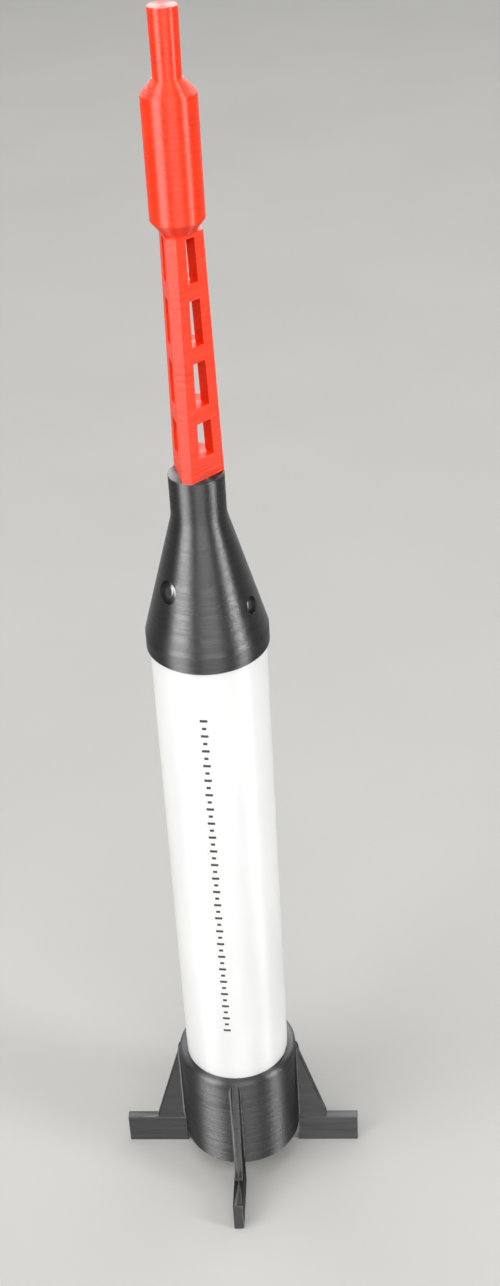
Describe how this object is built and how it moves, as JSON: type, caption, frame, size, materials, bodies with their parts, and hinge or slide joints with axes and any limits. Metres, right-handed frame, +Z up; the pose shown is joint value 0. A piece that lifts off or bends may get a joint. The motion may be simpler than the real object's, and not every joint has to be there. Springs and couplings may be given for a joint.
{
  "type": "model rocket",
  "caption": "Finned flying model rocket with a capsule nose and escape tower; the nose lifts off a parachute tube and a spring hook holds the motor.",
  "frame": {"origin": "on the ground under the tube's axis, midway between the four fin tips", "axes": "+Z up along the tube's axis towards the nose, -Y along the front fin, +X along the right fin"},
  "size_m": [0.0984, 0.0984, 0.4767],
  "materials": {
    "white_tube": "gloss white coated paper",
    "black_print": "satin printed plastic with fine layer lines",
    "red_print": "satin printed plastic with fine layer lines",
    "kraft_card": "plain rolled card",
    "card_ring": "die-cut fibre ring",
    "spring_steel": "blued spring steel",
    "zinc_steel": "zinc plated",
    "white_print": "printed plastic",
    "plywood": "thin birch plywood",
    "dark_pane": "polished",
    "canopy": "thin ripstop nylon"
  },
  "bodies": {
    "airframe": {"body_tube": "white_tube", "fin_can": "black_print", "fin_front": "black_print", "fin_right": "black_print", "fin_back": "black_print", "fin_left": "black_print", "motor_tube": "kraft_card", "thrust_ring": "kraft_card", "front_centering_ring": "card_ring", "rear_centering_ring": "card_ring", "launch_lug_lower": "white_print", "launch_lug_upper": "white_print", "cord_anchor": "zinc_steel"},
    "hook": {"engine_hook": "spring_steel"},
    "canopy": {"parachute": "canopy"},
    "nose": {"capsule_shell": "black_print", "porthole_left": "dark_pane", "porthole_right": "dark_pane", "nose_coupler": "kraft_card", "coupler_bulkhead": "plywood", "eye_bolt": "zinc_steel", "eye_washer": "zinc_steel", "eye_nut": "zinc_steel", "escape_tower": "red_print", "escape_motor": "red_print", "aero_spike": "red_print"}
  },
  "joints": [
    {"name": "nose_release", "type": "slide", "parent": "airframe", "child": "nose", "axis": [0, 0, 1], "range_m": [0, 0.15]},
    {"name": "parachute_draw", "type": "slide", "parent": "airframe", "child": "canopy", "axis": [0, 0, 1], "range_m": [0, 0.15]},
    {"name": "hook_flex", "type": "hinge", "parent": "airframe", "child": "hook", "pos_m": [0.00753, 0.00753, 0.0749], "axis": [0.7071, -0.7071, 0], "range_deg": [0, 4], "stiffness_Nm_per_rad": 1.2}
  ],
  "couplings": [
    {"joint": "parachute_draw", "follows": "nose_release", "ratio": 1}
  ]
}
